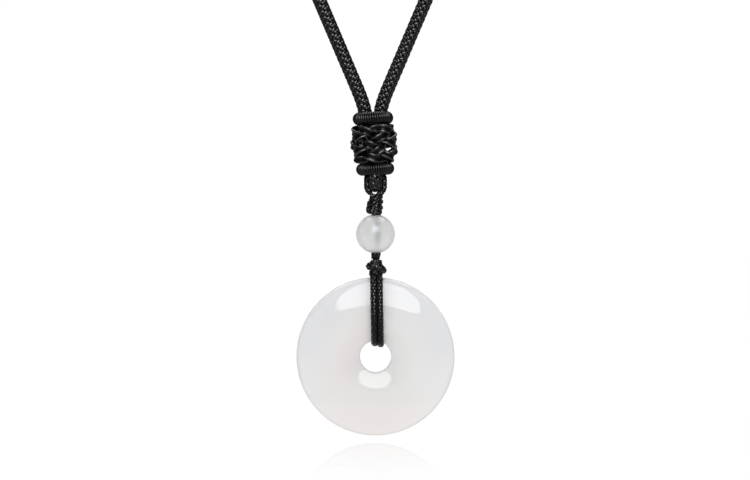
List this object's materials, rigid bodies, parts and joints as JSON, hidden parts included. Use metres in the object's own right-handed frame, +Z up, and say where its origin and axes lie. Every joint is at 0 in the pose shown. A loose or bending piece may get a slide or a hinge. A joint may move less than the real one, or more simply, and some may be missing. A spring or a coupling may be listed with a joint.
{
  "type": "agate necklace",
  "caption": "Necklace with a pale agate ring disc and bead on black thread, hung from a braided black neck cord through a woven sleeve.",
  "frame": {"origin": "middle of the neck cord where it lies on the back of the neck", "axes": "+Z up, the necklace's front looks along -Y, +X to the right as seen in the picture"},
  "size_m": [0.1286, 0.1101, 0.2658],
  "materials": {
    "braided_cord": "black braided nylon cord with fine grey glints",
    "wound_cord": "black cord wound tightly into a ring",
    "satin_cord": "black satin cord, softly shining along its length",
    "thread": "thin black braided thread",
    "bead_agate": "polished grey-white agate, half clear",
    "disc_agate": "polished milky grey-white agate with faint pink clouds"
  },
  "bodies": {
    "necklace": {"neck_cord": "braided_cord", "upper_ring": "wound_cord", "woven_sleeve": "satin_cord", "lower_ring": "wound_cord"},
    "drop": {"hanger_loop": "thread", "upper_knot": "thread", "bead_thread": "thread", "stone_bead": "bead_agate", "lower_knot": "thread", "left_strand": "thread", "right_strand": "thread"},
    "disc": {"agate_disc": "disc_agate"}
  },
  "joints": [
    {"name": "drop_swing", "type": "hinge", "parent": "necklace", "child": "drop", "pos_m": [0.00059, -0.104, -0.21145], "axis": [1, 0, 0], "range_deg": [-70, 70]},
    {"name": "disc_turn", "type": "hinge", "parent": "drop", "child": "disc", "pos_m": [0.00059, -0.104, -0.24834], "axis": [0, 1, 0], "continuous": true}
  ]
}
